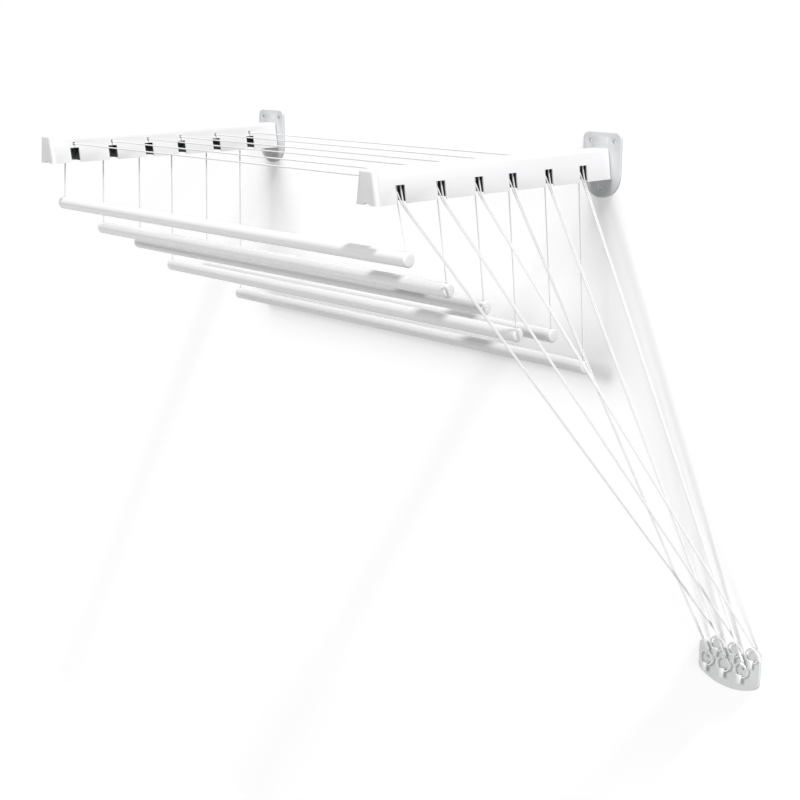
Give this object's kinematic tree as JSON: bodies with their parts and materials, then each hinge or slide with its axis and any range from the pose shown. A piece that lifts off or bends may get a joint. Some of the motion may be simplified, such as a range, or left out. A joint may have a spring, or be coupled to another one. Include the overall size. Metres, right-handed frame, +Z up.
{
  "type": "wall drying rack",
  "caption": "Wall drying rack with two fixed arms, rods hung on cords over pulleys, and pull rings on a hook cleat.",
  "frame": {"origin": "on the wall plane, midway between the arms, at the height of the lower screw hole of each wall plate", "axes": "+X along the rods towards the cleat's side, +Y into the wall, +Z up"},
  "size_m": [1.3028, 0.543, 0.913],
  "materials": {
    "arm_plastic": "satin white moulding",
    "cleat_plastic": "satin white moulding",
    "rod_enamel": "gloss white enamel on tube",
    "cap_plastic": "satin white",
    "pulley_plastic": "dark green-black",
    "ring_plastic": "gloss white",
    "cord_braid": "white braid",
    "steel": "bright zinc"
  },
  "bodies": {
    "root": {"left_arm_shell": "arm_plastic", "right_arm_shell": "arm_plastic", "left_end_cap": "arm_plastic", "right_end_cap": "arm_plastic", "left_wall_plate": "arm_plastic", "right_wall_plate": "arm_plastic", "left_pulley_carriers": "pulley_plastic", "right_pulley_carriers": "pulley_plastic", "left_axle": "steel", "right_axle": "steel", "lock_screws": "steel", "near_sheave_pins": "steel", "far_cords": "cord_braid", "near_cords": "cord_braid", "cleat_plate": "cleat_plastic"},
    "rod_1": {"rod_1": "rod_enamel", "rod_end_caps_1": "cap_plastic", "drop_cords_1": "cord_braid"},
    "rod_2": {"rod_2": "rod_enamel", "rod_end_caps_2": "cap_plastic", "drop_cords_2": "cord_braid"},
    "rod_3": {"rod_3": "rod_enamel", "rod_end_caps_3": "cap_plastic", "drop_cords_3": "cord_braid"},
    "rod_4": {"rod_4": "rod_enamel", "rod_end_caps_4": "cap_plastic", "drop_cords_4": "cord_braid"},
    "rod_5": {"rod_5": "rod_enamel", "rod_end_caps_5": "cap_plastic", "drop_cords_5": "cord_braid"},
    "rod_6": {"rod_6": "rod_enamel", "rod_end_caps_6": "cap_plastic", "drop_cords_6": "cord_braid"},
    "left_pulley_1": {"left_pulley_1": "pulley_plastic"},
    "left_pulley_2": {"left_pulley_2": "pulley_plastic"},
    "left_pulley_3": {"left_pulley_3": "pulley_plastic"},
    "left_pulley_4": {"left_pulley_4": "pulley_plastic"},
    "left_pulley_5": {"left_pulley_5": "pulley_plastic"},
    "left_pulley_6": {"left_pulley_6": "pulley_plastic"},
    "right_pulley_1": {"right_pulley_1": "pulley_plastic"},
    "right_pulley_2": {"right_pulley_2": "pulley_plastic"},
    "right_pulley_3": {"right_pulley_3": "pulley_plastic"},
    "right_pulley_4": {"right_pulley_4": "pulley_plastic"},
    "right_pulley_5": {"right_pulley_5": "pulley_plastic"},
    "right_pulley_6": {"right_pulley_6": "pulley_plastic"},
    "near_sheave_1": {"near_sheave_1": "pulley_plastic"},
    "near_sheave_2": {"near_sheave_2": "pulley_plastic"},
    "near_sheave_3": {"near_sheave_3": "pulley_plastic"},
    "near_sheave_4": {"near_sheave_4": "pulley_plastic"},
    "near_sheave_5": {"near_sheave_5": "pulley_plastic"},
    "near_sheave_6": {"near_sheave_6": "pulley_plastic"},
    "ring_1": {"ring_1": "ring_plastic"},
    "ring_2": {"ring_2": "ring_plastic"},
    "ring_3": {"ring_3": "ring_plastic"},
    "ring_4": {"ring_4": "ring_plastic"},
    "ring_5": {"ring_5": "ring_plastic"},
    "ring_6": {"ring_6": "ring_plastic"}
  },
  "joints": [
    {"name": "rod_1_lift", "type": "slide", "parent": "root", "child": "rod_1", "axis": [0, 0, 1], "range_m": [-0.8, 0], "deforming": ["drop_cords_1"]},
    {"name": "rod_2_lift", "type": "slide", "parent": "root", "child": "rod_2", "axis": [0, 0, 1], "range_m": [-0.8, 0], "deforming": ["drop_cords_2"]},
    {"name": "rod_3_lift", "type": "slide", "parent": "root", "child": "rod_3", "axis": [0, 0, 1], "range_m": [-0.8, 0], "deforming": ["drop_cords_3"]},
    {"name": "rod_4_lift", "type": "slide", "parent": "root", "child": "rod_4", "axis": [0, 0, 1], "range_m": [-0.8, 0], "deforming": ["drop_cords_4"]},
    {"name": "rod_5_lift", "type": "slide", "parent": "root", "child": "rod_5", "axis": [0, 0, 1], "range_m": [-0.8, 0], "deforming": ["drop_cords_5"]},
    {"name": "rod_6_lift", "type": "slide", "parent": "root", "child": "rod_6", "axis": [0, 0, 1], "range_m": [-0.8, 0], "deforming": ["drop_cords_6"]},
    {"name": "left_pulley_1_turn", "type": "hinge", "parent": "root", "child": "left_pulley_1", "pos_m": [-0.449, -0.494, 0.03875], "axis": [0, 1, 0], "continuous": true},
    {"name": "left_pulley_2_turn", "type": "hinge", "parent": "root", "child": "left_pulley_2", "pos_m": [-0.449, -0.4106, 0.03875], "axis": [0, 1, 0], "continuous": true},
    {"name": "left_pulley_3_turn", "type": "hinge", "parent": "root", "child": "left_pulley_3", "pos_m": [-0.449, -0.3282, 0.03875], "axis": [0, 1, 0], "continuous": true},
    {"name": "left_pulley_4_turn", "type": "hinge", "parent": "root", "child": "left_pulley_4", "pos_m": [-0.449, -0.251, 0.03875], "axis": [0, 1, 0], "continuous": true},
    {"name": "left_pulley_5_turn", "type": "hinge", "parent": "root", "child": "left_pulley_5", "pos_m": [-0.449, -0.1646, 0.03875], "axis": [0, 1, 0], "continuous": true},
    {"name": "left_pulley_6_turn", "type": "hinge", "parent": "root", "child": "left_pulley_6", "pos_m": [-0.449, -0.078, 0.03875], "axis": [0, 1, 0], "continuous": true},
    {"name": "right_pulley_1_turn", "type": "hinge", "parent": "root", "child": "right_pulley_1", "pos_m": [0.443, -0.494, 0.03875], "axis": [0, 1, 0], "continuous": true},
    {"name": "right_pulley_2_turn", "type": "hinge", "parent": "root", "child": "right_pulley_2", "pos_m": [0.443, -0.4106, 0.03875], "axis": [0, 1, 0], "continuous": true},
    {"name": "right_pulley_3_turn", "type": "hinge", "parent": "root", "child": "right_pulley_3", "pos_m": [0.443, -0.3282, 0.03875], "axis": [0, 1, 0], "continuous": true},
    {"name": "right_pulley_4_turn", "type": "hinge", "parent": "root", "child": "right_pulley_4", "pos_m": [0.443, -0.251, 0.03875], "axis": [0, 1, 0], "continuous": true},
    {"name": "right_pulley_5_turn", "type": "hinge", "parent": "root", "child": "right_pulley_5", "pos_m": [0.443, -0.1646, 0.03875], "axis": [0, 1, 0], "continuous": true},
    {"name": "right_pulley_6_turn", "type": "hinge", "parent": "root", "child": "right_pulley_6", "pos_m": [0.443, -0.078, 0.03875], "axis": [0, 1, 0], "continuous": true},
    {"name": "near_sheave_1_turn", "type": "hinge", "parent": "root", "child": "near_sheave_1", "pos_m": [0.4599, -0.4915, 0.0475], "axis": [1, 0, 0], "continuous": true},
    {"name": "near_sheave_2_turn", "type": "hinge", "parent": "root", "child": "near_sheave_2", "pos_m": [0.4599, -0.4081, 0.0475], "axis": [1, 0, 0], "continuous": true},
    {"name": "near_sheave_3_turn", "type": "hinge", "parent": "root", "child": "near_sheave_3", "pos_m": [0.4599, -0.3257, 0.0475], "axis": [1, 0, 0], "continuous": true},
    {"name": "near_sheave_4_turn", "type": "hinge", "parent": "root", "child": "near_sheave_4", "pos_m": [0.4599, -0.2485, 0.0475], "axis": [1, 0, 0], "continuous": true},
    {"name": "near_sheave_5_turn", "type": "hinge", "parent": "root", "child": "near_sheave_5", "pos_m": [0.4599, -0.1621, 0.0475], "axis": [1, 0, 0], "continuous": true},
    {"name": "near_sheave_6_turn", "type": "hinge", "parent": "root", "child": "near_sheave_6", "pos_m": [0.4599, -0.0755, 0.0475], "axis": [1, 0, 0], "continuous": true},
    {"name": "ring_1_unhook", "type": "slide", "parent": "root", "child": "ring_1", "axis": [0, 0, -1], "range_m": [0, 0.012]},
    {"name": "ring_2_unhook", "type": "slide", "parent": "root", "child": "ring_2", "axis": [0, 0, -1], "range_m": [0, 0.012]},
    {"name": "ring_3_unhook", "type": "slide", "parent": "root", "child": "ring_3", "axis": [0, 0, -1], "range_m": [0, 0.012]},
    {"name": "ring_4_unhook", "type": "slide", "parent": "root", "child": "ring_4", "axis": [0, 0, -1], "range_m": [0, 0.012]},
    {"name": "ring_5_unhook", "type": "slide", "parent": "root", "child": "ring_5", "axis": [0, 0, -1], "range_m": [0, 0.012]},
    {"name": "ring_6_unhook", "type": "slide", "parent": "root", "child": "ring_6", "axis": [0, 0, -1], "range_m": [0, 0.012]}
  ],
  "couplings": [
    {"joint": "left_pulley_1_turn", "follows": "rod_1_lift", "rad_per_m": 86.58},
    {"joint": "left_pulley_2_turn", "follows": "rod_2_lift", "rad_per_m": 86.58},
    {"joint": "left_pulley_3_turn", "follows": "rod_3_lift", "rad_per_m": 86.58},
    {"joint": "left_pulley_4_turn", "follows": "rod_4_lift", "rad_per_m": 86.58},
    {"joint": "left_pulley_5_turn", "follows": "rod_5_lift", "rad_per_m": 86.58},
    {"joint": "left_pulley_6_turn", "follows": "rod_6_lift", "rad_per_m": 86.58},
    {"joint": "right_pulley_1_turn", "follows": "rod_1_lift", "rad_per_m": 86.58},
    {"joint": "right_pulley_2_turn", "follows": "rod_2_lift", "rad_per_m": 86.58},
    {"joint": "right_pulley_3_turn", "follows": "rod_3_lift", "rad_per_m": 86.58},
    {"joint": "right_pulley_4_turn", "follows": "rod_4_lift", "rad_per_m": 86.58},
    {"joint": "right_pulley_5_turn", "follows": "rod_5_lift", "rad_per_m": 86.58},
    {"joint": "right_pulley_6_turn", "follows": "rod_6_lift", "rad_per_m": 86.58},
    {"joint": "near_sheave_1_turn", "follows": "rod_1_lift", "rad_per_m": -235.29},
    {"joint": "near_sheave_2_turn", "follows": "rod_2_lift", "rad_per_m": -235.29},
    {"joint": "near_sheave_3_turn", "follows": "rod_3_lift", "rad_per_m": -235.29},
    {"joint": "near_sheave_4_turn", "follows": "rod_4_lift", "rad_per_m": -235.29},
    {"joint": "near_sheave_5_turn", "follows": "rod_5_lift", "rad_per_m": -235.29},
    {"joint": "near_sheave_6_turn", "follows": "rod_6_lift", "rad_per_m": -235.29}
  ]
}
